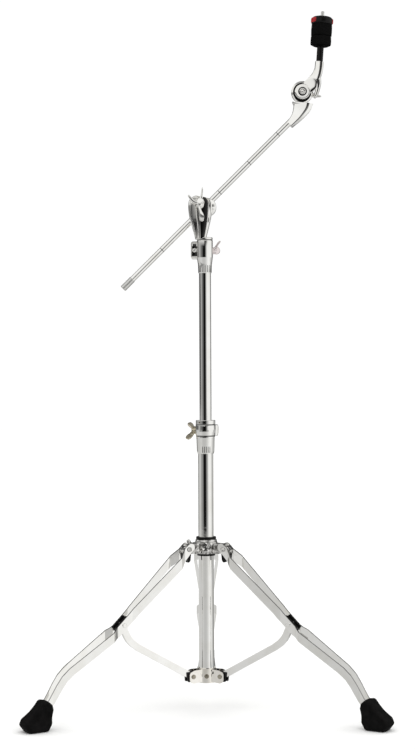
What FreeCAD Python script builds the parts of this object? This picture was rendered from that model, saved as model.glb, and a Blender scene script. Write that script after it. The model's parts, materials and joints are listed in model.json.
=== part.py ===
import FreeCAD, Part
import math
import os

V = FreeCAD.Vector
os.makedirs("parts", exist_ok=True)

# Cymbal boom stand, millimetres, +Z up, origin on the floor under the column.
# Each leg is drawn in its own plane: X outwards, Y across the leg, Z up, then turned about +Z.

# Telescoping column: three tubes, each sliding in the one below
BASE_R = 14.3
MIDDLE_R = 11.1
UPPER_R = 9.5
WALL = 1.5
RUNNING_GAP = 0.05
BASE_TUBE = (52.0, 510.0)
MIDDLE_TUBE = (300.0, 836.0)
UPPER_TUBE = (640.0, 871.5)

# Tripod, in a leg's own plane
LEG_TURNS = {"right": -30.0, "left": 210.0, "rear": 90.0}
HUB_PIVOT = (42.0, 300.0)
KNEE = (176.0, 172.0)
BRACKET_PIVOT = (33.0, 64.5)
KNEE_SLOPE = -42.8
STRIP_HALF = 1.5
PIN_R = 3.0
LUG_HALF = 8.2
HUB_BOLT_TURN = 150.0
FOOT_PIN = (330.0, 36.0)
STRUT_HALF = 3.7
STRIP_SIDE = [(38, 303.5, 7.2), (42, 300, 7.2), (59, 281.0, 7.4), (152, 195.5, 7.4), (160, 187, 7.6),
              (189, 160, 7.6), (200, 153.2, 7.0), (281, 99.6, 6.8), (294, 88, 6.4), (304, 74, 6.2),
              (318, 51, 6.0), (336, 29, 5.0)]
STRIP_PLAN = [(28, 10.2), (52, 10.2), (64, 21.7), (160, 10.2), (190, 10.2), (201, 18.3),
              (286, 12), (316, 9.5), (345, 9.5)]
STRUT_SIDE = [(33, 64.5), (143, 127.2), (155, 136), (162.5, 144), (167, 151.5), (176, 172)]
STRUT_HEIGHT_HALF = 6.2
FOOT_SIDE = [(315.5, 36.5, 3), (317.5, 45.5, 3), (324, 51.5, 4), (334, 53.5, 5), (341, 45, 8),
             (353, 33, 20), (368.5, 21, 5), (372.5, 12, 4), (363, 0, 4), (329, 0, 5),
             (320.5, 12, 8), (319, 25, 10)]
FOOT_HALF = 16.0
FOOT_EDGE = 3.5
BRACKET_Z = (51.5, 78.0)
BRACKET_SCREW_Z = 64.0
HUB_Z = (290.0, 312.5)
HUB_BORE = 17.0
HUB_BOLT_Z = 301.0
CLAMP_BOLT_BORE = 3.05
CLAMP_NUT_FLATS = 11.0
NUT_POCKET_FLATS = 11.2

# Boom tilter
TILT_AXIS = (-9.0, 936.7)
BOOM_OFFSET = 9.0
BOOM_ANGLE = 44.7
BOOM_R = 5.5
BOOM_ENDS = (-208.0, 240.0)
YOKE_SLOT_HALF = 8.3
TILT_BOLT_R = 3.2

# Cymbal tilter
CYMBAL_AXIS = (182.4, 1146.2)
STEM_FOOT = (211.0, 1148.3)
STEM_LEAN = 3.9
ROD_R = 3.0
ROD_Z = (34.0, 148.0)
SLEEVE_R = 4.3
SLEEVE_FOOT_R = 6.15
SLEEVE_Z = (54.1, 83.0, 122.6)
NUT_R = 19.9
NUT_Z = (123.2, 136.8)
BUTTON_Z = (125.5, 134.2)
BUTTON_R = 20.4


def outline(points):
    """Flat face whose corners (x, y, radius) are rounded by true arcs."""
    corners = []
    count = len(points)
    for index, (x, y, radius) in enumerate(points):
        corner = V(x, y, 0)
        back = V(points[index - 1][0], points[index - 1][1], 0) - corner
        ahead = V(points[(index + 1) % count][0], points[(index + 1) % count][1], 0) - corner
        if radius == 0:
            corners.append((corner, None, corner))
            continue
        half = back.getAngle(ahead) / 2
        back.normalize()
        ahead.normalize()
        inward = (back + ahead).normalize()
        reach = radius / math.tan(half)
        middle = corner + inward * (radius / math.sin(half) - radius)
        corners.append((corner + back * reach, middle, corner + ahead * reach))
    edges = []
    for index, (start, middle, stop) in enumerate(corners):
        if middle is not None:
            edges.append(Part.Arc(start, middle, stop).toShape())
        following = corners[(index + 1) % count][0]
        if (following - stop).Length > 1e-6:
            edges.append(Part.makeLine(stop, following))
    return Part.Face(Part.Wire(edges))


def prism(points, low, high):
    """Outline in the XY plane, thickened from z = low to z = high."""
    face = outline(points)
    face.translate(V(0, 0, low))
    return face.extrude(V(0, 0, high - low))


def upright(shape):
    """Turn a shape drawn in the XY plane so that its Y becomes Z and its Z becomes -Y."""
    turned = shape.copy()
    turned.rotate(V(0, 0, 0), V(1, 0, 0), 90)
    return turned


def side_prism(points, near, far):
    """Outline in the XZ plane, thickened from y = near to y = far."""
    return upright(prism(points, -far, -near))


def fuse(shapes):
    joined = shapes[0].multiFuse(shapes[1:])
    return joined.removeSplitter()


def bar(points, low, high):
    """Bar of changing half width along (x, y, half) points, from z = low to z = high."""
    pieces = []
    for (x0, y0, half0), (x1, y1, half1) in zip(points, points[1:]):
        along = V(x1 - x0, y1 - y0, 0).normalize()
        across = V(-along.y, along.x, 0)
        start = V(x0, y0, low)
        stop = V(x1, y1, low)
        near, far = across * half0, across * half1
        corners = [start + near, stop + far, stop - far, start - near]
        face = Part.Face(Part.makePolygon(corners + corners[:1]))
        pieces.append(face.extrude(V(0, 0, high - low)))
        pieces.append(Part.makeCylinder(half1, high - low, stop))
    x, y, half = points[0]
    pieces.append(Part.makeCylinder(half, high - low, V(x, y, low)))
    return fuse(pieces)


def rod(radius, start, stop):
    line = V(*stop) - V(*start)
    return Part.makeCylinder(radius, line.Length, V(*start), line)


def spun(points):
    """Solid turned about +Z from a closed (radius, z, corner radius) outline."""
    return upright(outline(points)).revolve(V(0, 0, 0), V(0, 0, 1), 360)


def ring(outer, inner, low, high):
    return rod(outer, (0, 0, low), (0, 0, high)).cut(rod(inner, (0, 0, low - 1), (0, 0, high + 1)))


def turned(shape, degrees):
    copy = shape.copy()
    copy.rotate(V(0, 0, 0), V(0, 0, 1), degrees)
    return copy


def set_on(shape, origin, up, across):
    """Carry a shape from the axes to a place: its +Z goes along up, its +X along across."""
    copy = shape.copy()
    turn = FreeCAD.Rotation(V(*across), V(0, 0, 0), V(*up), "ZXY")
    copy.Placement = FreeCAD.Placement(V(*origin), turn).multiply(copy.Placement)
    return copy


def save(name, shape):
    shape.exportStep("parts/" + name + ".step")


def save_group(name, shapes):
    save(name, Part.makeCompound(shapes))


# ---------------------------------------------------------------- fasteners

def rivet(radius, head_radius, half_span, head):
    """Rivet along +Y, centred on the origin, with a low domed head at each end."""
    shank = rod(radius, (0, -half_span, 0), (0, half_span, 0))
    heads = []
    for side in (-1, 1):
        disc = rod(head_radius, (0, side * half_span, 0), (0, side * (half_span + head), 0))
        rims = [edge for edge in disc.Edges if abs(edge.CenterOfMass.y) > half_span + head - 0.01]
        heads.append(disc.makeFillet(head * 0.7, rims[:1]))
    return fuse([shank] + heads)


def wing_bolt(shank_radius, shank, boss_radius, boss, arm_a, arm_b, arm_half, lean):
    """Bolt along -Z whose boss stands on z = 0 and carries two leaning paddle arms along X."""
    core = spun([(0, -shank, 0), (shank_radius, -shank, 0.6), (shank_radius, 0, 0), (boss_radius, 0, 1),
                 (boss_radius * 0.85, boss, 2), (0, boss, 0)])
    root = boss * 0.35
    thick = boss * 0.5
    arms = []
    for side, reach in ((-1, arm_a), (1, arm_b)):
        tip = V(side * reach, 0, root + (reach - boss_radius) * math.tan(math.radians(lean)))
        start = V(0, 0, root)
        along = (tip - start).normalize()
        across = V(0, 1, 0)
        normal = along.cross(across)
        corners = [start + across * arm_half * 0.6, tip + across * arm_half, tip - across * arm_half,
                   start - across * arm_half * 0.6]
        low = normal * (-thick / 2)
        face = Part.Face(Part.makePolygon([corner + low for corner in corners + corners[:1]]))
        paddle = Part.makeCylinder(arm_half, thick, tip + low, normal)
        arms += [face.extrude(normal * thick), paddle]
    return fuse([core] + arms)


def hex_nut(across_flats, thick, bore):
    side = across_flats / math.sqrt(3)
    turns = [math.radians(degrees) for degrees in range(0, 361, 60)]
    corners = [V(side * math.cos(turn), side * math.sin(turn), 0) for turn in turns]
    body = Part.Face(Part.makePolygon(corners)).extrude(V(0, 0, thick))
    return body.cut(rod(bore, (0, 0, -1), (0, 0, thick + 1)))


# ---------------------------------------------------------------- column base

def base_tube():
    return ring(BASE_R, BASE_R - WALL, *BASE_TUBE)


def base_bracket():
    """Sleeve riveted to the column's foot, with a pair of ears for each strut."""
    sleeve = ring(17.4, BASE_R, *BRACKET_Z)
    ear = side_prism([(12, 54, 0), (34, 52, 6), (41, 57, 6), (41, 72, 6), (30, 76, 5), (12, 76, 0)],
                     6.6, 9.2)
    ears = []
    for degrees in LEG_TURNS.values():
        for side in (0, 180):
            flipped = ear.copy()
            if side:
                flipped = ear.mirror(V(0, 0, 0), V(0, 1, 0))
            ears.append(turned(flipped, degrees))
    bore = rod(BASE_R, (0, 0, 40), (0, 0, 90))
    body = fuse([sleeve] + ears).cut(bore)
    for degrees in LEG_TURNS.values():
        x, z = BRACKET_PIVOT
        body = body.cut(turned(rod(PIN_R, (x, -20, z), (x, 20, z)), degrees))
    screw = rod(2.6, (0, -19, BRACKET_SCREW_Z), (0, -14, BRACKET_SCREW_Z))
    return body.cut(screw)


def bracket_screw():
    head = spun([(0, 17.4, 0), (4.4, 17.4, 0), (3.6, 19.4, 1.2), (0, 19.6, 0)])
    shank = rod(2.55, (0, 0, BASE_R + 0.1), (0, 0, 17.6))
    slot = Part.makeBox(9, 1.1, 1.2, V(-4.5, -0.55, 18.8))
    screw = fuse([head, shank]).cut(slot)
    return set_on(screw, (0, 0, BRACKET_SCREW_Z), (0, -1, 0), (1, 0, 0))


def bracket_rivets():
    x, z = BRACKET_PIVOT
    pin = rivet(PIN_R, 4.3, 9.3, 1.5)
    pin.translate(V(x, 0, z))
    return [turned(pin, degrees) for degrees in LEG_TURNS.values()]


def bracket_bushes():
    plate = side_prism([(26, 56.5, 3), (43, 55, 2), (44.5, 73, 2), (26, 74, 3)], STRUT_HALF + 0.3, 6.5)
    x, z = BRACKET_PIVOT
    plate = plate.cut(rod(PIN_R, (x, -20, z), (x, 20, z)))
    other = plate.mirror(V(0, 0, 0), V(0, 1, 0))
    plates = []
    for degrees in LEG_TURNS.values():
        plates += [turned(plate, degrees), turned(other, degrees)]
    return plates


# ---------------------------------------------------------------- split tube clamps

def split_clamp(profile, bores, ear_z, ear_y, side, bolt_z, ear_reach):
    """Cast clamp with a slit behind, an ear each side of it and a bolt across the ears."""
    body = spun(profile)
    low, high = ear_z
    near, far = ear_y
    nut_end = -side * ear_reach[0]
    bolt_end = side * ear_reach[1]
    x0, x1 = min(nut_end, bolt_end), max(nut_end, bolt_end)
    block = Part.makeBox(x1 - x0, far - near, high - low, V(x0, near, low))
    tall = [e for e in block.Edges if e.CenterOfMass.y > far - 0.01 or
            (abs(e.Vertexes[0].Point.y - e.Vertexes[1].Point.y) > 1)]
    block = block.makeFillet(5.0, tall)
    body = fuse([body, block])
    bottom = profile[0][1]
    for radius, z0, z1 in bores:
        body = body.cut(rod(radius, (0, 0, z0), (0, 0, z1)))
    slit = Part.makeBox(2.0, far + 4, high - bottom + 20, V(-1.0, 3, low))
    body = body.cut(slit)
    bolt_y = (near + far) / 2 + 3.2
    body = body.cut(rod(CLAMP_BOLT_BORE, (x0 - 5, bolt_y, bolt_z), (x1 + 5, bolt_y, bolt_z)))
    pocket = hex_nut(NUT_POCKET_FLATS, 4.4, 0.1)
    pocket = fuse([pocket, rod(1, (0, 0, 0), (0, 0, 4.4))])
    pocket = set_on(pocket, (nut_end, bolt_y, bolt_z), (side, 0, 0), (0, 0, 1))
    return body.cut(pocket)


def clamp_nut(nut_end, bolt_y, bolt_z, side):
    nut = hex_nut(CLAMP_NUT_FLATS, 4.2, CLAMP_BOLT_BORE)
    return set_on(nut, (nut_end, bolt_y, bolt_z), (side, 0, 0), (0, 0, 1))


# Height clamp on the base tube: the wing bolt points left, the nut sits on the right.
BASE_EAR_Y = (9.0, 25.0)
BASE_BOLT_Y = 20.2
BASE_BOLT_Z = 518.0
BASE_EARS = (24.0, 17.5)


def base_clamp():
    profile = [(10, 475, 0), (15.6, 475, 0.8), (16.4, 479, 1), (17.3, 504, 1), (18.4, 508, 1.5),
               (18.6, 528.5, 1.5), (10, 528.5, 0)]
    bores = [(BASE_R, 470, BASE_TUBE[1]), (14.0, 505, 540)]
    body = split_clamp(profile, bores, (507, 528.5), BASE_EAR_Y, -1, BASE_BOLT_Z, BASE_EARS)
    for degrees in (250, 274, 298):
        slot = side_prism([(14, 476.5, 0), (19, 476.5, 0), (19, 489, 1), (14, 489, 1)], -1.0, 1.0)
        body = body.cut(turned(slot, degrees).cut(rod(15.4, (0, 0, 470), (0, 0, 500))))
    return body


def base_clamp_bush():
    return ring(13.95, MIDDLE_R + RUNNING_GAP, BASE_TUBE[1] + 0.2, 528.3)


# Height clamp on the middle tube: the wing bolt points right, the nut sits on the left.
UPPER_EAR_Y = (6.0, 22.0)
UPPER_BOLT_Y = 17.2
UPPER_BOLT_Z = 853.0
UPPER_EARS = (25.5, 13.5)


def upper_clamp():
    profile = [(9, 810, 0), (12.4, 810, 0.8), (12.7, 826, 6), (14.5, 838, 4), (14.7, 871, 1.5), (9, 871, 0)]
    bores = [(MIDDLE_R, 800, MIDDLE_TUBE[1]), (11.6, MIDDLE_TUBE[1] - 1, 880)]
    body = split_clamp(profile, bores, (837, 870.5), UPPER_EAR_Y, 1, UPPER_BOLT_Z, UPPER_EARS)
    for index in range(10):
        groove = rod(0.9, (13.0, 0, 809), (13.0, 0, 825))
        body = body.cut(turned(groove, 200 + index * 15.5))
    return body


def upper_clamp_bush():
    return ring(11.55, UPPER_R + RUNNING_GAP, MIDDLE_TUBE[1] + 0.2, 870.8)


# Memory ring that rests on the base clamp, with its grub screw at the front left.
MEMORY_Z = 533.1
MEMORY_HALF = 3.9
MEMORY_R = 18.2
MEMORY_SCREW_R = 2.0
MEMORY_SCREW_TURN = math.radians(231.6)


def memory_ring():
    low, high = MEMORY_Z - MEMORY_HALF, MEMORY_Z + MEMORY_HALF
    body = spun([(MIDDLE_R, low, 0), (MEMORY_R, low, 0.8), (MEMORY_R, high, 0.8), (MIDDLE_R, high, 0)])
    away = (40 * math.cos(MEMORY_SCREW_TURN), 40 * math.sin(MEMORY_SCREW_TURN), MEMORY_Z)
    return body.cut(rod(MEMORY_SCREW_R, (0, 0, MEMORY_Z), away))


def memory_ring_screw():
    away = (math.cos(MEMORY_SCREW_TURN), math.sin(MEMORY_SCREW_TURN), 0)
    end = MEMORY_R + 0.4
    screw = spun([(0, MIDDLE_R + 0.1, 0), (1.95, MIDDLE_R + 0.1, 0), (1.95, end, 0.5), (0, end, 0)])
    screw = screw.cut(hex_nut(2.0, 4, 0.01).translated(V(0, 0, 17.0)))
    return set_on(screw, (0, 0, MEMORY_Z), away, (0, 0, 1))


# ---------------------------------------------------------------- sliding leg hub

def leg_hub():
    """Cast collar with three leg lugs and a boss for its own wing bolt."""
    low, high = HUB_Z
    core = spun([(16, low, 0), (21.5, low, 1.5), (22.2, low + 6, 2), (21.0, high, 2), (16, high, 0)])
    lug = side_prism([(12, 291, 0), (44, 291, 3), (52.5, 296, 4), (49, 306, 5), (38, 309, 6), (12, 310, 0)],
                     -LUG_HALF, LUG_HALF)
    pieces = [core] + [turned(lug, degrees) for degrees in LEG_TURNS.values()]
    boss = rod(8.0, (15, 0, HUB_BOLT_Z), (27.5, 0, HUB_BOLT_Z))
    body = fuse(pieces + [turned(boss, HUB_BOLT_TURN)])
    body = body.cut(rod(HUB_BORE, (0, 0, low - 10), (0, 0, high + 10)))
    x, z = HUB_PIVOT
    for degrees in LEG_TURNS.values():
        body = body.cut(turned(rod(PIN_R, (x, -20, z), (x, 20, z)), degrees))
    bolt = rod(CLAMP_BOLT_BORE, (10, 0, HUB_BOLT_Z), (30, 0, HUB_BOLT_Z))
    pocket = set_on(hex_nut(NUT_POCKET_FLATS, 4.4, 0.1), (HUB_BORE, 0, HUB_BOLT_Z), (1, 0, 0), (0, 0, 1))
    pocket = fuse([pocket, rod(1, (HUB_BORE, 0, HUB_BOLT_Z), (HUB_BORE + 4, 0, HUB_BOLT_Z))])
    return body.cut(turned(bolt, HUB_BOLT_TURN)).cut(turned(pocket, HUB_BOLT_TURN))


def hub_bush():
    """Flanged sleeve that the hub slides on the base tube with."""
    inner = BASE_R + RUNNING_GAP
    flange = HUB_Z[1] + 0.3
    return spun([(inner, HUB_Z[0] - 4, 0), (HUB_BORE, HUB_Z[0] - 4, 0), (HUB_BORE, flange, 0),
                 (18.6, flange, 0.6), (18.6, flange + 8.2, 1), (inner, flange + 8.2, 0)])


def hub_pins():
    x, z = HUB_PIVOT
    pin = rivet(PIN_R, 4.6, 12.2, 1.5)
    pin.translate(V(x, 0, z))
    return [turned(pin, degrees) for degrees in LEG_TURNS.values()]


def hub_stops():
    stop = side_prism([(36, 278, 1.5), (41, 273.5, 1.5), (43.5, 290.7, 0), (34.5, 290.7, 0)], -4.5, 4.5)
    return [turned(stop, degrees) for degrees in LEG_TURNS.values()]


def hub_nut():
    nut = hex_nut(CLAMP_NUT_FLATS, 4.0, CLAMP_BOLT_BORE)
    nut = set_on(nut, (HUB_BORE + 0.1, 0, HUB_BOLT_Z), (1, 0, 0), (0, 0, 1))
    return turned(nut, HUB_BOLT_TURN)


# ---------------------------------------------------------------- legs

def leg_strip(side):
    """Bent strip: its side outline crossed with its plan outline, then drilled for three pins."""
    tall = upright(bar(STRIP_SIDE, -30, 30))
    plan = bar([(x, side * y, STRIP_HALF) for x, y in STRIP_PLAN], 0, 330)
    strip = tall.common(plan)
    x, z = HUB_PIVOT
    strip = strip.cut(rod(PIN_R + RUNNING_GAP, (x, -30, z), (x, 30, z)))
    x, z = KNEE
    strip = strip.cut(rod(PIN_R, (x, -30, z), (x, 30, z)))
    x, z = FOOT_PIN
    return strip.cut(rod(PIN_R, (x, -30, z), (x, 30, z)))


def leg_spacers():
    """Two black cheeks inside the knee that leave a slot for the strut between them."""
    half = STRIP_PLAN[4][1] - STRIP_HALF
    inner = STRUT_HALF + 0.6
    block = side_prism([(-15.5, -3, 2), (15.5, -3, 2), (15.5, 8.0, 1.5), (-15.5, 8.0, 1.5)], inner, half)
    boss = rod(7.2, (0, inner, 0), (0, half, 0))
    cheek = fuse([block, boss]).cut(rod(PIN_R, (0, -20, 0), (0, 20, 0)))
    cheek.rotate(V(0, 0, 0), V(0, 1, 0), -KNEE_SLOPE)
    cheek.translate(V(KNEE[0], 0, KNEE[1]))
    return [cheek, cheek.mirror(V(0, 0, 0), V(0, 1, 0))]


def leg_rivets():
    """A short rivet through each strip and its cheek, and a long one inside the foot."""
    inner = STRUT_HALF + 0.6
    outer = STRIP_PLAN[4][1] + STRIP_HALF
    shank = rod(PIN_R, (0, inner, 0), (0, outer, 0))
    head = rod(4.3, (0, outer, 0), (0, outer + 1.5, 0))
    rims = [edge for edge in head.Edges if abs(edge.CenterOfMass.y - outer - 1.5) < 0.01]
    short = fuse([shank, head.makeFillet(1.0, rims[:1])])
    short.translate(V(KNEE[0], 0, KNEE[1]))
    long_one = rivet(PIN_R, 4.3, STRIP_PLAN[-1][1] + STRIP_HALF, 1.5)
    long_one.translate(V(FOOT_PIN[0], 0, FOOT_PIN[1]))
    return [short, short.mirror(V(0, 0, 0), V(0, 1, 0)), long_one]


def leg_foot(strips, rivets):
    """Rubber boot moulded round the ends of both strips."""
    body = side_prism(FOOT_SIDE, -FOOT_HALF, FOOT_HALF)
    sides = [e for e in body.Edges if abs(abs(e.CenterOfMass.y) - FOOT_HALF) < 0.01]
    body = body.makeFillet(FOOT_EDGE, sides)
    for inner in strips + rivets:
        body = body.cut(inner)
    return body


def leg_strut():
    body = upright(bar([(x, z, STRUT_HEIGHT_HALF) for x, z in STRUT_SIDE], -STRUT_HALF, STRUT_HALF))
    for x, z in (BRACKET_PIVOT, KNEE):
        body = body.cut(rod(PIN_R + RUNNING_GAP, (x, -20, z), (x, 20, z)))
    return body


def save_legs():
    strips = {"front": leg_strip(-1), "back": leg_strip(1)}
    rivets = leg_rivets()
    foot = leg_foot(list(strips.values()), rivets)
    spacers = leg_spacers()
    strut = leg_strut()
    for name, degrees in LEG_TURNS.items():
        for side, strip in strips.items():
            save("leg_" + name + "_strip_" + side, turned(strip, degrees))
        save_group("leg_" + name + "_spacers", [turned(s, degrees) for s in spacers])
        save_group("leg_" + name + "_rivets", [turned(s, degrees) for s in rivets])
        save("foot_" + name, turned(foot, degrees))
        save("strut_" + name, turned(strut, degrees))


# ---------------------------------------------------------------- boom tilter

def in_boom_frame(shape):
    """Boom frame: +X along the boom, origin at the boom's nearest point to the tilt axis."""
    angle = math.radians(BOOM_ANGLE)
    foot = (TILT_AXIS[0] + BOOM_OFFSET * math.sin(angle), 0, TILT_AXIS[1] - BOOM_OFFSET * math.cos(angle))
    along = (math.cos(angle), 0, math.sin(angle))
    up = (-math.sin(angle), 0, math.cos(angle))
    return set_on(shape, foot, up, along)


def tilter_yoke():
    """Flattened teardrop with a slot for the boom clamp and a clear bore down the middle."""
    x, z = TILT_AXIS
    drop = spun([(0, -62.5, 0), (10.4, -62.5, 0), (22.0, -3, 26), (13.5, 16.5, 12), (0, 17.5, 0)])
    squash = FreeCAD.Matrix()
    squash.scale(V(1.0, 0.78, 1.0))
    drop = drop.transformGeometry(squash)
    drop.translate(V(x + 0.8, 0, z - 1.0))
    base = spun([(0, 872, 0), (14.6, 872, 0.6), (14.6, 876.5, 0.6), (0, 876.5, 0)])
    spigot = rod(UPPER_R - WALL - RUNNING_GAP, (0, 0, 850), (0, 0, 873))
    body = fuse([drop, base, spigot])
    slot = Part.makeBox(80, 2 * YOKE_SLOT_HALF, 90, V(-50, -YOKE_SLOT_HALF, 876.5))
    body = body.cut(slot)
    body = body.cut(rod(6.8, (0, 0, 840), (0, 0, 900)))
    body = body.cut(rod(TILT_BOLT_R, (x, -40, z), (x, 40, z)))
    return body.cut(rod(1.9, (x, -20, 881.5), (x, -8, 881.5)))


def yoke_screw():
    x = TILT_AXIS[0]
    shank, head = 1.9, 3.0
    screw = spun([(0, 8.6, 0), (shank, 8.6, 0), (shank, 11.0, 0), (head, 11.0, 0), (head, 12.6, 0.6),
                  (0, 12.6, 0)])
    screw = screw.cut(Part.makeBox(6.4, 0.9, 0.8, V(-3.2, -0.45, 12.0)))
    return set_on(screw, (x, 0, 881.5), (0, -1, 0), (1, 0, 0))


def tilt_bolt():
    x, z = TILT_AXIS
    shank = rod(TILT_BOLT_R, (x, -18.5, z), (x, 17.5, z))
    head = set_on(hex_nut(13, 5, 0.01), (x, 17.2, z), (0, 1, 0), (1, 0, 0))
    return fuse([shank, head, rod(1, (x, 17, z), (x, 22, z))])


def tilt_wing():
    """T-shaped wing nut in front of the yoke, its bar standing upright."""
    x, z = TILT_AXIS
    bore = TILT_BOLT_R + RUNNING_GAP
    nut = wing_bolt(bore, 0.1, 7.3, 9.0, 26, 26, 2.6, 7)
    nut = nut.cut(rod(bore, (0, 0, -2), (0, 0, 2.2)))
    return set_on(nut, (x, -17.6, z), (0, -1, 0), (0.12, 0, 0.99))


def boom_clamp():
    """Round cheek block that turns on the tilt bolt and grips the boom."""
    half = YOKE_SLOT_HALF - 0.4
    pivot = rod(13.5, (0, -half, BOOM_OFFSET), (0, half, BOOM_OFFSET))
    cheek = rod(16.5, (7.0, -half, -4.0), (7.0, half, -4.0))
    body = fuse([pivot, cheek])
    rims = [e for e in body.Edges if abs(abs(e.CenterOfMass.y) - half) < 0.01]
    body = body.makeFillet(1.2, rims)
    body = body.cut(rod(BOOM_R + RUNNING_GAP, (-40, 0, 0), (40, 0, 0)))
    body = body.cut(rod(TILT_BOLT_R + RUNNING_GAP, (0, -20, BOOM_OFFSET), (0, 20, BOOM_OFFSET)))
    slit = Part.makeBox(60, 1.6, 30, V(-25, -0.8, -32))
    return in_boom_frame(body.cut(slit))


def boom_rod():
    body = rod(BOOM_R, (BOOM_ENDS[0], 0, 0), (BOOM_ENDS[1], 0, 0))
    for place in (-109.0, 42.0, 119.5, 195.0):
        groove = rod(BOOM_R + 1, (place, 0, 0), (place + 1.0, 0, 0))
        body = body.cut(groove.cut(rod(BOOM_R - 0.4, (place - 1, 0, 0), (place + 2, 0, 0))))
    return in_boom_frame(body)


def boom_cap():
    tip = BOOM_ENDS[0]
    cap = spun([(0, 0, 0), (6.2, 0, 1.6), (6.2, 25, 0.8), (0, 25, 0)])
    cap = cap.cut(rod(BOOM_R, (0, 0, 3), (0, 0, 30)))
    cap = set_on(cap, (tip - 3, 0, 0), (1, 0, 0), (0, 1, 0))
    return in_boom_frame(cap)


# ---------------------------------------------------------------- cymbal tilter

def tilter_lower_arm():
    """Cast arm: a socket on the boom that widens into an open round cup."""
    x, z = CYMBAL_AXIS
    arm = side_prism([(153.5, 1091.5, 1), (166.5, 1104.5, 16), (167.5, 1136, 4), (197, 1142, 4),
                      (206, 1127, 10), (183, 1093, 60), (165, 1080.2, 1)], -7.8, 7.8)
    arm = arm.makeFillet(3.0, [e for e in arm.Edges if abs(abs(e.CenterOfMass.y) - 7.8) < 0.01])
    cup = rod(20.3, (x, -4.0, z), (x, 12.0, z))
    back_rim = [e for e in cup.Edges if abs(e.CenterOfMass.y - 12.0) < 0.01]
    cup = cup.makeFillet(3.5, back_rim)
    body = fuse([arm, cup])
    body = body.cut(rod(15.6, (x, -20, z), (x, 4.0, z)))
    body = body.cut(rod(20.9, (x, -20, z), (x, -4.0, z)))
    body = body.cut(rod(4.05, (x, -20, z), (x, 20, z)))
    angle = math.radians(BOOM_ANGLE)
    foot = (TILT_AXIS[0] + BOOM_OFFSET * math.sin(angle), TILT_AXIS[1] - BOOM_OFFSET * math.cos(angle))
    reach = BOOM_ENDS[1]
    top = (foot[0] + reach * math.cos(angle), 0, foot[1] + reach * math.sin(angle))
    low = (foot[0] + 150 * math.cos(angle), 0, foot[1] + 150 * math.sin(angle))
    return body.cut(rod(BOOM_R, low, top))


def cymbal_tilt_bolt():
    """Bolt whose round recessed head shows in the middle of the cup."""
    x, z = CYMBAL_AXIS
    head = rod(7.8, (x, -11.4, z), (x, -8.3, z))
    head = head.cut(rod(5.4, (x, -12, z), (x, -9.6, z)))
    dome = Part.makeSphere(4.6, V(x, -7.4, z)).cut(Part.makeBox(20, 20, 20, V(x - 10, -9.0, z - 10)))
    shank = rod(4.0, (x, -9.5, z), (x, 20.0, z))
    return fuse([head, dome, shank])


def cymbal_tilt_wing():
    x, z = CYMBAL_AXIS
    nut = wing_bolt(4.05, 0.1, 7.5, 9.0, 16, 37.5, 2.6, 4)
    nut = nut.cut(rod(4.05, (0, 0, -2), (0, 0, 7.8)))
    return set_on(nut, (x, 12.3, z), (0, 1, 0), (0.991, 0, -0.13))


def in_stem_frame(shape):
    """Stem frame: +Z up the leaning cymbal stem."""
    lean = math.radians(STEM_LEAN)
    up = (math.sin(lean), 0, math.cos(lean))
    across = (math.cos(lean), 0, -math.sin(lean))
    return set_on(shape, (STEM_FOOT[0], 0, STEM_FOOT[1]), up, across)


def tilter_upper_arm():
    """Cast arm: the stem sweeps over the cup's rim into a disc that sits inside the cup."""
    x, z = CYMBAL_AXIS
    disc = rod(14.2, (x, -8.2, z), (x, 3.6, z))
    over = side_prism([(x - 6, z + 8, 0), (x - 4, 1169, 8), (190, 1171, 14), (205.5, 1184, 22),
                       (207.5, 1196, 0), (222.5, 1196, 0), (219.5, 1172, 30), (216.5, 1150, 30),
                       (208.5, 1134, 3), (203, 1137, 0), (204, 1146, 10), (199.8, 1152, 0),
                       (x + 8, z - 6, 0)], -8.2, 8.2)
    over = over.cut(rod(20.9, (x, -4.3, z), (x, 20, z)))
    over = over.cut(rod(14.2, (x, -20, z), (x, 20, z)))
    wedge = side_prism([(x, z + 2, 0), (x - 9, z + 24, 0), (x + 24, z + 24, 0), (x + 24, z + 6, 0),
                        (x + 8, z, 0)], -9, -3)
    web = rod(20.9, (x, -8.2, z), (x, -4.3, z)).common(wedge)
    over = fuse([over, web])
    stem = in_stem_frame(rod(7.7, (0, 0, 42), (0, 0, SLEEVE_Z[0])))
    body = fuse([disc, over, stem])
    body = body.cut(rod(4.05, (x, -20, z), (x, 20, z)))
    body = body.cut(in_stem_frame(rod(ROD_R, (0, 0, ROD_Z[0]), (0, 0, 70))))
    return body


def cymbal_rod():
    low, high = ROD_Z
    body = spun([(0, low, 0), (ROD_R, low, 0), (ROD_R, high, 0.8), (0, high, 0)])
    return in_stem_frame(body)


def cymbal_sleeve():
    """Sleeve with a thick foot under the seat washer and a thin tube that the felts sit on."""
    low, seat, high = SLEEVE_Z
    body = spun([(ROD_R, low, 0), (SLEEVE_FOOT_R, low, 0.4), (SLEEVE_FOOT_R, seat, 0.6),
                 (SLEEVE_R, seat, 0), (SLEEVE_R, high, 0.6), (ROD_R, high, 0)])
    return in_stem_frame(body)


def seat_washer():
    return in_stem_frame(ring(14.0, SLEEVE_R, SLEEVE_Z[1], SLEEVE_Z[1] + 1.2))


def felt(low, high, radius):
    disc = spun([(4.6, low, 0), (radius, low, 2.5), (radius, high, 1.5), (4.6, high, 0)])
    return in_stem_frame(disc)


def button_shape():
    """Left push button: a block with the round outline of the nut outside."""
    low, high = BUTTON_Z
    outer = rod(BUTTON_R, (0, 0, low), (0, 0, high))
    block = Part.makeBox(11.5, 15, high - low, V(-21.5, -7.5, low))
    return outer.common(block)


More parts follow.
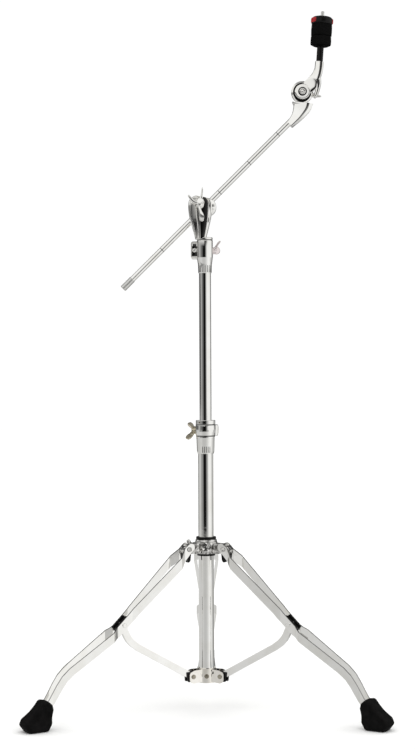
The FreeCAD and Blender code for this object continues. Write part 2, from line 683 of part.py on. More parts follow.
def quick_nut():
    low, high = NUT_Z
    body = spun([(3.4, low, 0), (NUT_R - 0.9, low, 0.8), (NUT_R, low + 2.7, 1), (NUT_R, high - 3.2, 2),
                 (16.5, high, 2.5), (3.4, high, 0)])
    pocket = Part.makeBox(14, 16, 9.8, V(-22.0, -8.0, BUTTON_Z[0] - 0.5))
    for shape in (pocket, pocket.mirror(V(0, 0, 0), V(1, 0, 0))):
        body = body.cut(shape)
    return in_stem_frame(body)


def nut_button(side):
    block = button_shape()
    if side > 0:
        block = block.mirror(V(0, 0, 0), V(1, 0, 0))
    return in_stem_frame(block)


# ---------------------------------------------------------------- write every piece

save("base_tube", base_tube())
save("base_bracket", base_bracket())
save("bracket_screw", bracket_screw())
save_group("bracket_rivets", bracket_rivets())
save_group("bracket_bushes", bracket_bushes())
save("base_clamp", base_clamp())
save("base_clamp_bush", base_clamp_bush())
save("base_clamp_nut", clamp_nut(BASE_EARS[0] - 0.1, BASE_BOLT_Y, BASE_BOLT_Z, -1))
save("leg_hub", leg_hub())
save("hub_bush", hub_bush())
save_group("hub_pins", hub_pins())
save_group("hub_stops", hub_stops())
save("hub_nut", hub_nut())
save_legs()

clamp_wing = wing_bolt(3.0, 38, 7.2, 9.0, 19, 19, 5.5, 24)
base_seat = (-BASE_EARS[1] - 0.2, BASE_BOLT_Y, BASE_BOLT_Z)
upper_seat = (UPPER_EARS[1] + 0.2, UPPER_BOLT_Y, UPPER_BOLT_Z)
save("base_wing_bolt", set_on(clamp_wing, base_seat, (-1, 0, 0), (0, -0.72, -0.7)))
save("upper_wing_bolt", set_on(clamp_wing, upper_seat, (1, 0, 0), (0, 0.72, 0.7)))
hub_wing = set_on(wing_bolt(3.0, 9.5, 6.6, 8.0, 11, 11, 5.0, 20), (27.8, 0, HUB_BOLT_Z), (1, 0, 0), (0, 0, 1))
save("hub_wing_bolt", turned(hub_wing, HUB_BOLT_TURN))

save("middle_tube", ring(MIDDLE_R, MIDDLE_R - WALL, *MIDDLE_TUBE))
save("memory_ring", memory_ring())
save("memory_ring_screw", memory_ring_screw())
save("upper_clamp", upper_clamp())
save("upper_clamp_bush", upper_clamp_bush())
save("upper_clamp_nut", clamp_nut(-UPPER_EARS[0] + 0.1, UPPER_BOLT_Y, UPPER_BOLT_Z, 1))
save("upper_tube", ring(UPPER_R, UPPER_R - WALL, *UPPER_TUBE))
save("tilter_yoke", tilter_yoke())
save("yoke_screw", yoke_screw())
save("tilt_bolt", tilt_bolt())
save("tilt_wing", tilt_wing())
save("boom_clamp", boom_clamp())
save("boom_rod", boom_rod())
save("boom_cap", boom_cap())
save("tilter_lower_arm", tilter_lower_arm())
save("cymbal_tilt_bolt", cymbal_tilt_bolt())
save("cymbal_tilt_wing", cymbal_tilt_wing())
save("tilter_upper_arm", tilter_upper_arm())
save("cymbal_rod", cymbal_rod())
save("cymbal_sleeve", cymbal_sleeve())
save("seat_washer", seat_washer())
save("lower_felt", felt(84.5, 100.8, 19.2))
save("upper_felt", felt(101.1, 122.9, 19.4))
save("quick_nut", quick_nut())
save("nut_button_left", nut_button(-1))
save("nut_button_right", nut_button(1))
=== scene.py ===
import json
import math

import bmesh
import bpy
from mathutils import Matrix, Vector


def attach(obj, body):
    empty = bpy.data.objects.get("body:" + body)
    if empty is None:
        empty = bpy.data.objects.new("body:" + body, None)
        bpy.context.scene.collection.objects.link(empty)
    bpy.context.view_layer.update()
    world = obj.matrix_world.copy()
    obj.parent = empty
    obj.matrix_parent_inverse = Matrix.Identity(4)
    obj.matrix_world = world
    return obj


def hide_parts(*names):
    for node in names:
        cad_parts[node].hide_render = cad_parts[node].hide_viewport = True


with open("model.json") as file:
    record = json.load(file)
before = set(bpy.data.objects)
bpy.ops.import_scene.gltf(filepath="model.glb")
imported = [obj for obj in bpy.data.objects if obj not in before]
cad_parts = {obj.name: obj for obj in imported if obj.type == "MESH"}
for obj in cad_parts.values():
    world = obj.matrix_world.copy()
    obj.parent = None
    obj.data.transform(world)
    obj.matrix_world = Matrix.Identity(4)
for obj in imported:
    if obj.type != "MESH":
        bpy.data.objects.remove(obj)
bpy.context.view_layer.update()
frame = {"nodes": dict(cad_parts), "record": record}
NODES = frame["nodes"]
RECORD = frame["record"]
SLOT_OF = {row["node"]: row["material_slot"] for row in RECORD["subparts"]}


# ---------------------------------------------------------------- materials

class Nodes:
    """Short calls for building one node tree."""

    def __init__(self, tree):
        self.tree = tree
        self.tree.nodes.clear()

    def add(self, kind, **settings):
        """New node; a setting is a socket's value or a property of the node."""
        node = self.tree.nodes.new(kind)
        for key, value in settings.items():
            if key in node.inputs:
                node.inputs[key].default_value = value
            else:
                setattr(node, key, value)
        return node

    def link(self, source, target):
        self.tree.links.new(source, target)

    def noise(self, scale, detail=3.0, roughness=0.5, stretch=(1, 1, 1)):
        """Noise in object space, whose scale is in cells per metre."""
        place = self.add("ShaderNodeTexCoord")
        mapping = self.add("ShaderNodeMapping")
        mapping.inputs["Scale"].default_value = stretch
        texture = self.add("ShaderNodeTexNoise", Scale=scale, Detail=detail, Roughness=roughness)
        self.link(place.outputs["Object"], mapping.inputs["Vector"])
        self.link(mapping.outputs["Vector"], texture.inputs["Vector"])
        return texture.outputs["Fac"]

    def between(self, value, low, high, span=(0.3, 0.7)):
        """Value mapped from span to the range low to high."""
        change = self.add("ShaderNodeMapRange")
        change.inputs["From Min"].default_value = span[0]
        change.inputs["From Max"].default_value = span[1]
        change.inputs["To Min"].default_value = low
        change.inputs["To Max"].default_value = high
        self.link(value, change.inputs["Value"])
        return change.outputs["Result"]

    def colours(self, value, stops):
        """Colour ramp through (place, colour) stops."""
        ramp = self.add("ShaderNodeValToRGB")
        elements = ramp.color_ramp.elements
        while len(elements) < len(stops):
            elements.new(0.5)
        for element, (place, colour) in zip(elements, stops):
            element.position = place
            element.color = (*colour, 1)
        self.link(value, ramp.inputs["Fac"])
        return ramp.outputs["Color"]

    def bump(self, height, strength, distance):
        """Surface relief from a height value."""
        node = self.add("ShaderNodeBump", Strength=strength, Distance=distance)
        self.link(height, node.inputs["Height"])
        return node.outputs["Normal"]


def surface(name, **constants):
    """A material with one Principled shader; constants go straight on its sockets."""
    material = bpy.data.materials.new(name)
    material.use_nodes = True
    nodes = Nodes(material.node_tree)
    output = nodes.add("ShaderNodeOutputMaterial")
    shader = nodes.add("ShaderNodeBsdfPrincipled")
    for socket, value in constants.items():
        shader.inputs[socket.replace("_", " ")].default_value = value
    nodes.link(shader.outputs["BSDF"], output.inputs["Surface"])
    return material, nodes, shader


def chrome(name, light=(0.95, 0.945, 0.93), warm=(0.90, 0.89, 0.86), rough=(0.012, 0.04), waves=0.02,
           wave_scale=120, depth=0.001, clouds=35):
    """Chrome plate: faint clouding, fine wiping marks and slight waves under the plating. Where the lower
    tone is near black, as on the hub, the clouds are painted dark reflections.
    """
    material, nodes, shader = surface(name, Metallic=1.0)
    cloud = nodes.noise(clouds, 4)
    nodes.link(nodes.colours(cloud, [(0.35, warm), (0.6, light)]), shader.inputs["Base Color"])
    nodes.link(nodes.between(nodes.noise(420, 2), *rough), shader.inputs["Roughness"])
    nodes.link(nodes.bump(nodes.noise(wave_scale, 2), waves, depth), shader.inputs["Normal"])
    return material


def domed_chrome(name, centre, swell):
    """Chrome casting whose flat cheeks bulge a little round a centre (x, z)."""
    material, nodes, shader = surface(name, Metallic=1.0)
    nodes.link(nodes.colours(nodes.noise(35, 4), [(0.35, (0.90, 0.89, 0.86)), (0.6, (0.95, 0.945, 0.93))]),
               shader.inputs["Base Color"])
    nodes.link(nodes.between(nodes.noise(420, 2), 0.012, 0.04), shader.inputs["Roughness"])
    place = nodes.add("ShaderNodeTexCoord")
    flat = nodes.add("ShaderNodeMapping")
    flat.inputs["Location"].default_value = (-centre[0], 0, -centre[1])
    flat.inputs["Scale"].default_value = (1, 0, 1)
    length = nodes.add("ShaderNodeVectorMath")
    length.operation = "LENGTH"
    square = nodes.add("ShaderNodeMath")
    square.operation = "POWER"
    square.inputs[1].default_value = 2
    height = nodes.add("ShaderNodeMath")
    height.operation = "MULTIPLY"
    height.inputs[1].default_value = -swell
    nodes.link(place.outputs["Object"], flat.inputs["Vector"])
    nodes.link(flat.outputs["Vector"], length.inputs[0])
    nodes.link(length.outputs["Value"], square.inputs[0])
    nodes.link(square.outputs["Value"], height.inputs[0])
    nodes.link(nodes.bump(height.outputs["Value"], 1.0, 1.0), shader.inputs["Normal"])
    return material


def threaded_steel(name):
    """Cut thread: fine rings round the rod, with painted shade darkening the roots."""
    material, nodes, shader = surface(name, Metallic=1.0)
    place = nodes.add("ShaderNodeTexCoord")
    rings = nodes.add("ShaderNodeTexWave", Scale=314, Distortion=0.4)
    rings.bands_direction = "Z"
    nodes.link(place.outputs["Object"], rings.inputs["Vector"])
    # Painted shade: the ramp darkens the base colour where the wave bands fall in the thread roots.
    nodes.link(nodes.colours(rings.outputs["Fac"], [(0.1, (0.45, 0.45, 0.44)), (0.8, (0.88, 0.87, 0.85))]),
               shader.inputs["Base Color"])
    nodes.link(nodes.between(nodes.noise(300, 2), 0.15, 0.3), shader.inputs["Roughness"])
    nodes.link(nodes.bump(rings.outputs["Fac"], 0.15, 0.0003), shader.inputs["Normal"])
    return material


def dark(name, low, high, rough, specular, grain, grain_scale):
    """Black rubber or nylon: two near-black tones, uneven gloss and a fine moulded grain."""
    material, nodes, shader = surface(name, Specular_IOR_Level=specular)
    nodes.link(nodes.colours(nodes.noise(80, 4), [(0.3, low), (0.75, high)]), shader.inputs["Base Color"])
    nodes.link(nodes.between(nodes.noise(280, 3), *rough), shader.inputs["Roughness"])
    nodes.link(nodes.bump(nodes.noise(grain_scale, 3), grain, 0.0004), shader.inputs["Normal"])
    return material


def wool_felt():
    """Pressed black wool: matt, with flattened fibres."""
    material, nodes, shader = surface("wool_felt", Specular_IOR_Level=0.0)
    fibres = nodes.noise(1400, 6, 0.75, (1, 1, 0.45))
    nodes.link(nodes.colours(fibres, [(0.3, (0.002, 0.002, 0.002)), (0.52, (0.006, 0.006, 0.006)),
                                      (0.8, (0.02, 0.019, 0.018))]), shader.inputs["Base Color"])
    nodes.link(nodes.between(fibres, 0.85, 1.0), shader.inputs["Roughness"])
    nodes.link(nodes.bump(fibres, 0.8, 0.0009), shader.inputs["Normal"])
    return material


CHROME = chrome("polished_chrome")
WARM_CHROME = chrome("warm_chrome", light=(0.72, 0.66, 0.54), warm=(0.42, 0.37, 0.26), waves=0.8,
                     wave_scale=150, depth=0.003)
# The hub's clouding runs down to a near-black tone: painted dark reflections standing in for its crinkled
# casting.
HUB_CHROME = chrome("hub_chrome", light=(0.86, 0.85, 0.83), warm=(0.16, 0.155, 0.15), waves=1.0,
                    wave_scale=62, depth=0.007, clouds=130)
BRACKET_CHROME = chrome("bracket_chrome", light=(0.93, 0.90, 0.86), warm=(0.84, 0.80, 0.73), waves=0.25,
                        wave_scale=60, depth=0.001)
OLIVE_STEEL = chrome("olive_steel", light=(0.46, 0.43, 0.36), warm=(0.24, 0.21, 0.16), waves=0.5,
                     wave_scale=200)
WASHER_FIBRE = dark("washer_fibre", (0.003, 0.003, 0.003), (0.006, 0.006, 0.006), (0.8, 0.95),
                    0.02, 0.3, 1200)
ROSE_CHROME = chrome("rose_chrome", light=(0.86, 0.79, 0.79), warm=(0.74, 0.66, 0.66), waves=0.5,
                     wave_scale=150)
CLAMP_CHROME = domed_chrome("clamp_chrome", (0.0051, 0.9324), 13)
THREAD = threaded_steel("rolled_thread")
BLACK_NYLON = dark("black_nylon", (0.003, 0.003, 0.003), (0.006, 0.0055, 0.0055), (0.16, 0.28),
                   0.16, 0.1, 1300)
RUBBER = dark("boot_rubber", (0.0025, 0.0025, 0.0025), (0.007, 0.0065, 0.0065), (0.6, 0.85), 0.06, 0.25, 900)
RED = dark("red_button", (0.30, 0.006, 0.010), (0.46, 0.02, 0.022), (0.25, 0.4), 0.3, 0.08, 1500)
FELT = wool_felt()
MATERIALS = {"chrome": CHROME, "black_plastic": BLACK_NYLON, "foot_rubber": RUBBER, "felt": FELT,
             "red_plastic": RED}
SPECIAL = {"leg_hub": HUB_CHROME, "hub_pins": HUB_CHROME, "hub_nut": HUB_CHROME,
           "base_bracket": BRACKET_CHROME, "boom_clamp": CLAMP_CHROME, "boom_cap": THREAD,
           "cymbal_rod": THREAD, "seat_washer": WASHER_FIBRE, "bracket_screw": OLIVE_STEEL,
           "bracket_rivets": OLIVE_STEEL, "yoke_screw": CHROME, "base_clamp_nut": WARM_CHROME,
           "upper_clamp_nut": WARM_CHROME, "memory_ring_screw": OLIVE_STEEL}


def smooth_mesh(mesh, degrees=35):
    """Smooth shading, with edges sharper than the angle kept crisp."""
    mesh.shade_smooth()
    mesh.set_sharp_from_angle(angle=math.radians(degrees))


def dress_cad_nodes():
    """Give every CAD node its material and a small soft edge."""
    for name, item in NODES.items():
        item.data.materials.clear()
        material = SPECIAL.get(name, MATERIALS[SLOT_OF[name]])
        item.data.materials.append(material)
        edge = item.modifiers.new("soft_edge", "BEVEL")
        edge.width = 0.0005
        edge.segments = 2
        edge.limit_method = "ANGLE"
        edge.angle_limit = math.radians(40)
        edge.harden_normals = True


dress_cad_nodes()


# ---------------------------------------------------------------- shaping tools, in millimetres

def frame_at(origin, up, across):
    """Matrix that puts +Z along up and +X along across."""
    z = Vector(up).normalized()
    x = Vector(across)
    x = (x - z * x.dot(z)).normalized()
    y = z.cross(x)
    return Matrix(((x.x, y.x, z.x, origin[0]), (x.y, y.y, z.y, origin[1]),
                   (x.z, y.z, z.z, origin[2]), (0, 0, 0, 1)))


class Shape:
    """Vertices and faces gathered from several parts."""

    def __init__(self):
        self.verts = []
        self.faces = []

    def rings(self, rings, closed=False, cap=True):
        """Skin over rings of equal length; the first and last are closed by a face each."""
        base = len(self.verts)
        count = len(rings[0])
        for ring in rings:
            self.verts += [Vector(point) for point in ring]
        pairs = [(index, index + 1) for index in range(len(rings) - 1)]
        if closed:
            pairs.append((len(rings) - 1, 0))
        for low, high in pairs:
            for step in range(count):
                after = (step + 1) % count
                self.faces.append([base + low * count + step, base + low * count + after,
                                   base + high * count + after, base + high * count + step])
        if cap and not closed:
            last = base + (len(rings) - 1) * count
            self.faces.append([base + step for step in range(count)])
            self.faces.append([last + step for step in range(count)])
        return self

    def add(self, other, matrix=None):
        """Take in another shape, placed by matrix."""
        base = len(self.verts)
        self.verts += [matrix @ vert if matrix else vert.copy() for vert in other.verts]
        self.faces += [[base + index for index in face] for face in other.faces]
        return self

    def moved(self, matrix):
        """Copy of the shape, placed by matrix."""
        return Shape().add(self, matrix)

    def bent(self, change):
        """Every vertex passed through change(Vector) -> Vector."""
        self.verts = [Vector(change(vert)) for vert in self.verts]
        return self

    def piece(self, name, body, material, nodes=(), slot="chrome", sharp=38):
        """Make the object, ride it on body and let it stand for the CAD nodes given."""
        mesh = bpy.data.meshes.new(name)
        mesh.from_pydata([tuple(vert * 0.001) for vert in self.verts], [], self.faces)
        work = bmesh.new()
        work.from_mesh(mesh)
        bmesh.ops.remove_doubles(work, verts=work.verts, dist=1e-6)
        bmesh.ops.recalc_face_normals(work, faces=work.faces)
        work.to_mesh(mesh)
        work.free()
        mesh.materials.append(material)
        smooth_mesh(mesh, sharp)
        item = bpy.data.objects.new(name, mesh)
        bpy.context.scene.collection.objects.link(item)
        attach(item, body)
        if nodes:
            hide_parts(*nodes)
        return item


def rounded(points, steps=5, closed=True):
    """Points (a, b, radius) of an outline, with each corner turned into an arc of short steps."""
    result = []
    count = len(points)
    for index, (a, b, radius) in enumerate(points):
        corner = Vector((a, b))
        end = not closed and index in (0, count - 1)
        if radius == 0 or end:
            result.append(corner)
            continue
        back = Vector(points[index - 1][:2]) - corner
        ahead = Vector(points[(index + 1) % count][:2]) - corner
        half = back.angle(ahead) / 2
        if half > 1.5:
            result.append(corner)
            continue
        reach = min(radius / math.tan(half), 0.48 * back.length, 0.48 * ahead.length)
        radius = reach * math.tan(half)
        back.normalize()
        ahead.normalize()
        middle = corner + (back + ahead).normalized() * (radius / math.sin(half))
        start = corner + back * reach - middle
        stop = corner + ahead * reach - middle
        sweep = start.angle_signed(stop)
        for step in range(steps + 1):
            turn = -sweep * step / steps
            result.append(middle + Vector((start.x * math.cos(turn) - start.y * math.sin(turn),
                                           start.x * math.sin(turn) + start.y * math.cos(turn))))
    return result


def lathe(points, segments=64, closed=False, steps=4, swell=None):
    """Solid turned about +Z from (radius, z, corner radius) points."""
    profile = rounded(points, steps, closed)
    rings = []
    for radius, z in profile:
        ring = []
        for step in range(segments):
            turn = 2 * math.pi * step / segments
            out = max(radius, 0.001)
            if swell:
                out += swell(turn, radius, z)
            ring.append((out * math.cos(turn), out * math.sin(turn), z))
        rings.append(ring)
    return Shape().rings(rings, closed=closed)


def dense(outline, gap=1.2):
    """Outline with extra points so that no side is longer than gap."""
    result = []
    for index, point in enumerate(outline):
        after = outline[(index + 1) % len(outline)]
        parts = max(1, round((after - point).length / gap))
        result += [point.lerp(after, part / parts) for part in range(parts)]
    return result


def relief(outline, centre, levels):
    """Plate in the XZ plane: rings of (inset, y), each the outline drawn in towards the centre."""
    centre = Vector(centre)
    rings = []
    for inset, y in levels:
        ring = []
        for point in outline:
            away = point - centre
            length = away.length
            place = centre + away * (max(length - inset, 0.02 * length) / length)
            ring.append((place.x, y, place.y))
        rings.append(ring)
    return Shape().rings(rings)


def loft(stations, power=2.6, count=44):
    """Bar in the XZ plane through (x, z, half width, y front, y back) stations, with rounded sides."""
    rings = []
    total = len(stations)
    for index, (x, z, half, front, back) in enumerate(stations):
        before = stations[max(index - 1, 0)]
        after = stations[min(index + 1, total - 1)]
        along = Vector((after[0] - before[0], after[1] - before[1])).normalized()
        across = Vector((along.y, -along.x))
        depth = (back - front) / 2
        middle = (back + front) / 2
        ring = []
        for step in range(count):
            turn = 2 * math.pi * (step + 0.5) / count
            c, s = math.cos(turn), math.sin(turn)
            wide = half * math.copysign(abs(c) ** (2 / power), c)
            deep = depth * math.copysign(abs(s) ** (2 / power), s)
            ring.append((x + across.x * wide, middle + deep, z + across.y * wide))
        rings.append(ring)
    return Shape().rings(rings)


def casting(stations, front, back, corner=0.9):
    """Bar in the XZ plane through (x, z, half width) stations, with the section given as outlines.

    front and back are lists of (share of half width, y), both read from -1 to 1 across the bar.
    """
    section = rounded([(share * 10, y, corner) for share, y in front]
                      + [(share * 10, y, corner) for share, y in reversed(back)], 3)
    rings = []
    total = len(stations)
    for index, (x, z, half) in enumerate(stations):
        before = stations[max(index - 1, 0)]
        after = stations[min(index + 1, total - 1)]
        along = Vector((after[0] - before[0], after[1] - before[1])).normalized()
        across = Vector((along.y, -along.x))
        rings.append([(x + across.x * point.x / 10 * half, point.y, z + across.y * point.x / 10 * half)
                      for point in section])
    return Shape().rings(rings)


def smooth_stations(stations, parts=6):
    """Extra stations between the given ones, on a smooth curve through them."""
    result = []
    for index in range(len(stations) - 1):
        p0 = stations[max(index - 1, 0)]
        p1, p2 = stations[index], stations[index + 1]
        p3 = stations[min(index + 2, len(stations) - 1)]
        for part in range(parts):
            t = part / parts
            result.append(tuple(0.5 * (2 * b + (c - a) * t + (2 * a - 5 * b + 4 * c - d) * t * t
                                       + (3 * b - a - 3 * c + d) * t ** 3)
                                for a, b, c, d in zip(p0, p1, p2, p3)))
    result.append(tuple(stations[-1]))
    return result


# ---------------------------------------------------------------- felts, sleeve nut and buttons

STEM_LEAN = math.radians(3.9)
STEM = frame_at((211.0, 0, 1148.3), (math.sin(STEM_LEAN), 0, math.cos(STEM_LEAN)),
                (math.cos(STEM_LEAN), 0, -math.sin(STEM_LEAN)))


def felt_disc(name, body, node, low, high, radius, phase):
    """Pressed felt washer with a soft, slightly uneven rim."""
    bulge = 0.5

    def uneven(turn, r, z):
        if r < radius * 0.6:
            return 0.0
        share = (z - low) / (high - low)
        fuzz = 0.16 * math.sin(7 * turn + phase) + 0.12 * math.sin(13 * turn + 5 * share + phase)
        return bulge * math.sin(math.pi * min(max(share, 0), 1)) + fuzz - 0.45

    points = [(4.6, low + 0.2, 0.6), (radius * 0.75, low, 8), (radius, low + 0.3, 1.8),
              (radius, (low + high) / 2, 20), (radius, high - 0.1, 1.2), (radius * 0.75, high, 8),
              (4.6, high - 0.2, 0.6)]
    disc = lathe(points, 96, closed=True, swell=uneven).moved(STEM)
    item = disc.piece(name, body, FELT, (node,), "felt", 60)
    return item


felt_disc("felt_washer_low", "felt_low", "lower_felt", 84.5, 100.8, 19.2, 0.4)
felt_disc("felt_washer_high", "felt_high", "upper_felt", 101.1, 122.9, 19.4, 1.7)


def arc_button(start, stop):
    """Push button that wraps round the nut's rim between two turns, with a ridged face."""
    rings = []
    steps = 30
    for step in range(steps + 1):
        turn = math.radians(start + (stop - start) * step / steps)
        end = min(step, steps - step, 3) / 3
        ridge = 0.18 * (step % 2)
        inner, outer = 16.0, 20.0 + 0.5 * end - ridge
        low, high = 125.5 + 0.8 * (1 - end), 134.2 - 0.8 * (1 - end)
        ring = [(inner, low), (outer - 0.6, low), (outer, low + 0.8), (outer + 0.25, (low + high) / 2),
                (outer, high - 0.8), (outer - 0.6, high), (inner, high)]
        rings.append([(r * math.cos(turn), r * math.sin(turn), z) for r, z in ring])
    return Shape().rings(rings)


arc_button(172, 232).moved(STEM).piece("button_left_cap", "button_left", RED, ("nut_button_left",),
                                       "red_plastic", 50)
arc_button(-14, 22).moved(STEM).piece("button_right_cap", "button_right", RED, ("nut_button_right",),
                                      "red_plastic", 50)


# ---------------------------------------------------------------- rubber boots

LEG_TURNS = {"right": -30.0, "left": 210.0, "rear": 90.0}


def rubber_boot():
    """Rubber foot in its leg's own plane, with a flat sole on the ground."""
    side = rounded([(315.5, 36.5, 3), (317.5, 45.5, 3), (324, 51.5, 4), (334, 53.5, 5), (341, 45, 8),
                    (353, 33, 20), (368.5, 21, 5), (372.4, 12, 4), (363.5, 0.02, 3), (329, 0.02, 4),
                    (320.5, 12, 8), (319, 25, 10)])
    levels = [(8.5, -14.9), (7.0, -15.6), (4.4, -15.9), (2.2, -15.0), (0.8, -12.8), (0.1, -9.0), (0, -4.0),
              (0, 4.0), (0.1, 9.0), (0.8, 12.8), (2.2, 15.0), (4.4, 15.9), (7.0, 15.6), (8.5, 14.9)]
    boot = relief(dense(side), (341, 25), levels)

    def sole(vert):
        """The boot widens towards the ground."""
        low = max(0.0, 1 - vert.z / 34)
        return (vert.x - 3.0 * low * (vert.y / 16) ** 2, vert.y * (1 + 0.18 * low), vert.z)
    return boot.bent(sole)


for leg, degrees in LEG_TURNS.items():
    turn = Matrix.Rotation(math.radians(degrees), 4, "Z")
    rubber_boot().moved(turn).piece("boot_" + leg, "leg_" + leg, RUBBER, ("foot_" + leg,), "foot_rubber", 50)


# ---------------------------------------------------------------- boom tilter

TILT_X, TILT_Z = -9.0, 936.7


def lean_left(start, share, centre):
    """Slant a casting's front so that it faces a little to -X, leaving what lies behind start alone."""
    def change(vert):
        if vert.y > start:
            return vert
        return (vert.x, vert.y - share * (vert.x - centre) * min(1.0, (start - vert.y) / 4), vert.z)
    return change


def yoke_cheek(face):
    """Tapered cheek with a raised bead down both edges; face is its section from edge to edge."""
    stations = [(-7.6, 874.0, 9.6), (-7.5, 879, 11.0), (-7.5, 890.7, 14.4), (-8.0, 909, 19.2),
                (-8.3, 920, 21.0), (-8.4, 930, 21.9), (-8.4, 937, 21.9), (-8.3, 942.5, 20.8),
                (-8.0, 947, 18.2), (-7.8, 950.2, 14.0), (-7.6, 951.6, 9.0)]
    return casting(smooth_stations(stations, 4), face, [(-1, -8.3), (1, -8.3)])


FRONT_FACE = [(-1, -11.4), (-0.96, -14.0), (-0.88, -15.2), (-0.80, -14.6), (-0.76, -15.4), (-0.34, -14.1),
              (-0.31, -13.6), (-0.25, -13.6), (-0.22, -14.2), (-0.02, -13.9), (0.68, -14.0), (0.72, -13.6),
              (0.90, -15.2), (0.96, -13.8), (1, -11.4)]
BACK_FACE = [(-1, -11.6), (-0.85, -14.6), (-0.75, -13.8), (0, -15.2), (0.75, -13.8), (0.85, -14.6),
             (1, -11.6)]
yoke = Shape().add(yoke_cheek(FRONT_FACE))
yoke.add(yoke_cheek(BACK_FACE), Matrix.Scale(-1, 4, (0, 1, 0)))
neck = lathe([(0, 873.0, 0), (10.5, 873.0, 1), (11.5, 882, 3), (0, 884, 0)])
yoke.add(neck, Matrix.Translation((-7.5, 0, 0)))
yoke.add(lathe([(0, 872, 0), (14.6, 872, 0.8), (14.6, 876.5, 1.2), (0, 876.5, 0)]))
yoke.add(lathe([(7.95, 850, 0), (7.95, 873, 0), (6.8, 873, 0), (6.8, 850, 0)], closed=True))
pad = lathe([(9.8, 871.15, 0), (14.5, 871.15, 0.2), (14.5, 871.9, 0.2), (9.8, 871.9, 0)], 96, closed=True)
pad.piece("swivel_pad", "yoke", BLACK_NYLON, (), "black_plastic")
yoke.piece("yoke_casting", "yoke", CHROME, ("tilter_yoke",), sharp=7)

def wing(boss_radius, boss, arms):
    """Wing nut on z = 0: a domed boss with a turned groove, and petal arms given as station lists."""
    shape = lathe([(0, 0, 0), (boss_radius, 0, 0.6), (boss_radius, boss * 0.45, 0.5),
                   (boss_radius - 0.7, boss * 0.5, 0.3), (boss_radius - 0.7, boss * 0.6, 0.3),
                   (boss_radius * 0.9, boss * 0.95, 2), (boss_radius * 0.45, boss, 0.8),
                   (boss_radius * 0.4, boss - 1.0, 0.3), (0, boss - 1.0, 0)], 48)
    for stations in arms:
        shape.add(loft(smooth_stations(stations), 2.2, 28))
    return shape


tilt = lathe([(0, 0, 0), (7.6, 0, 0.5), (7.6, 2.2, 0.5), (6.2, 2.8, 0.3), (6.4, 4.4, 0.8), (5.6, 7.2, 2.5),
              (2.4, 9.0, 1), (0, 9.1, 0)], 48).moved(frame_at((TILT_X, -17.3, TILT_Z), (0, -1, 0), (1, 0, 0)))
tilt.add(loft(smooth_stations([(-8.0, 944, 2.6, -25.2, -20.6), (-15, 939.5, 3.0, -24.6, -20.4),
                               (-22, 942.5, 3.0, -24.8, -20.8), (-28.5, 950.5, 2.0, -25, -21.4),
                               (-30.4, 953, 0.5, -23.8, -22.6)]), 2.2, 28))
tilt.add(lathe([(0, -5, 0), (6.6, -5, 0), (6.6, 0.6, 1.6), (5.2, 1.8, 1.2), (0, 2.0, 0)], 48),
         frame_at((-8.2, -24.2, 942.0), (-0.30, -0.92, 0.26), (1, 0, 0)))
drop = loft(smooth_stations([(-9.5, 937, 3.4, -25, -20.4), (-9.8, 931, 3.0, -25.5, -20.8),
                             (-8.6, 924, 2.8, -25.8, -21.2), (-5.8, 914.5, 4.4, -26, -21.6),
                             (-4.6, 908, 3.2, -25.2, -22), (-4.3, 906.4, 0.8, -24, -22.8)]), 3.2, 28)
tilt.add(drop.bent(lean_left(-21, 0.45, -8)))
tilt.add(loft(smooth_stations([(-7.5, 944, 4.0, -25.5, -20.4), (-5.5, 951, 2.2, -25, -21),
                               (-4.6, 959, 1.7, -24.8, -21.6), (-4.2, 965, 1.3, -24.4, -22),
                               (-4.1, 967, 0.3, -23.6, -22.8)]), 2.2, 28))
tilt.piece("tilt_wing_nut", "tilt_wing", CHROME, ("tilt_wing",))


# ---------------------------------------------------------------- cymbal tilter

CYM_X, CYM_Z = 182.4, 1146.2
ROUND = frame_at((CYM_X, 0, CYM_Z), (0, -1, 0), (1, 0, 0))

arm_face = [(-1, -2.4), (-0.92, -4.6), (0.40, -8.5), (0.66, -8.3), (0.76, -7.2), (1, -4.5)]
arm_back = [(-1, 4.5), (-0.75, 7.4), (0, 8.4), (0.75, 7.4), (1, 4.5)]
cup = casting(smooth_stations([(158.6, 1085.6, 7.6), (165, 1092, 8.4), (172.5, 1101, 10.8),
                               (178.5, 1111, 14.2), (182, 1119, 17.2), (183, 1126, 19.4)]),
              arm_face, arm_back)
cup.add(lathe([(0, -12.0, 0), (17.0, -12.0, 3), (20.3, -8.6, 2.5), (20.3, 1.6, 0.8), (16.9, 3.9, 0.6),
               (16.3, 1.2, 0.4), (0, 1.2, 0)], 96), ROUND)
cup.piece("lower_arm_casting", "boom", CHROME, ("tilter_lower_arm",), sharp=7)


def gap_shade_swell(turn, r, z):
    """The rim of the painted shade ring stands out on the lower side only."""
    return 2.9 * max(0.0, -math.sin(turn + 0.15)) ** 1.5 if r > 15.5 else 0.0


# Painted shade: a black ring set in the gap between the upper arm's disc and the cup's rim, for the dark
# crescents there.
washer = lathe([(14.7, 1.2, 0), (16.2, 1.2, 0), (16.2, 4.1, 0.4), (14.7, 4.1, 0.4)], 96, closed=True,
               swell=gap_shade_swell)
washer.moved(ROUND).piece("tilter_painted_shade", "boom", BLACK_NYLON, (), "black_plastic")

bolt = lathe([(0, -19.5, 0), (3.9, -19.5, 0.5), (3.9, 8.3, 0), (6.3, 8.3, 0.3), (6.2, 10.8, 1.2),
              (4.6, 11.3, 0.5), (4.0, 9.6, 0.4), (3.4, 9.6, 0.3), (2.6, 11.0, 1.0), (0, 11.4, 0)], 64)
# Painted dark reflection: a black ring over the tilt bolt head's outer rim.
bolt_painted_reflection = lathe([(6.35, 8.3, 0), (8.3, 8.3, 0.3), (8.0, 9.8, 0.6), (6.9, 11.0, 0.5), (6.35, 11.0, 0)],
             64, closed=True)
bolt_painted_reflection.moved(ROUND).piece("tilt_bolt_painted_reflection", "boom", BLACK_NYLON, (), "black_plastic")
bolt.moved(ROUND).piece("tilt_bolt_head", "boom", CHROME, ("cymbal_tilt_bolt",))

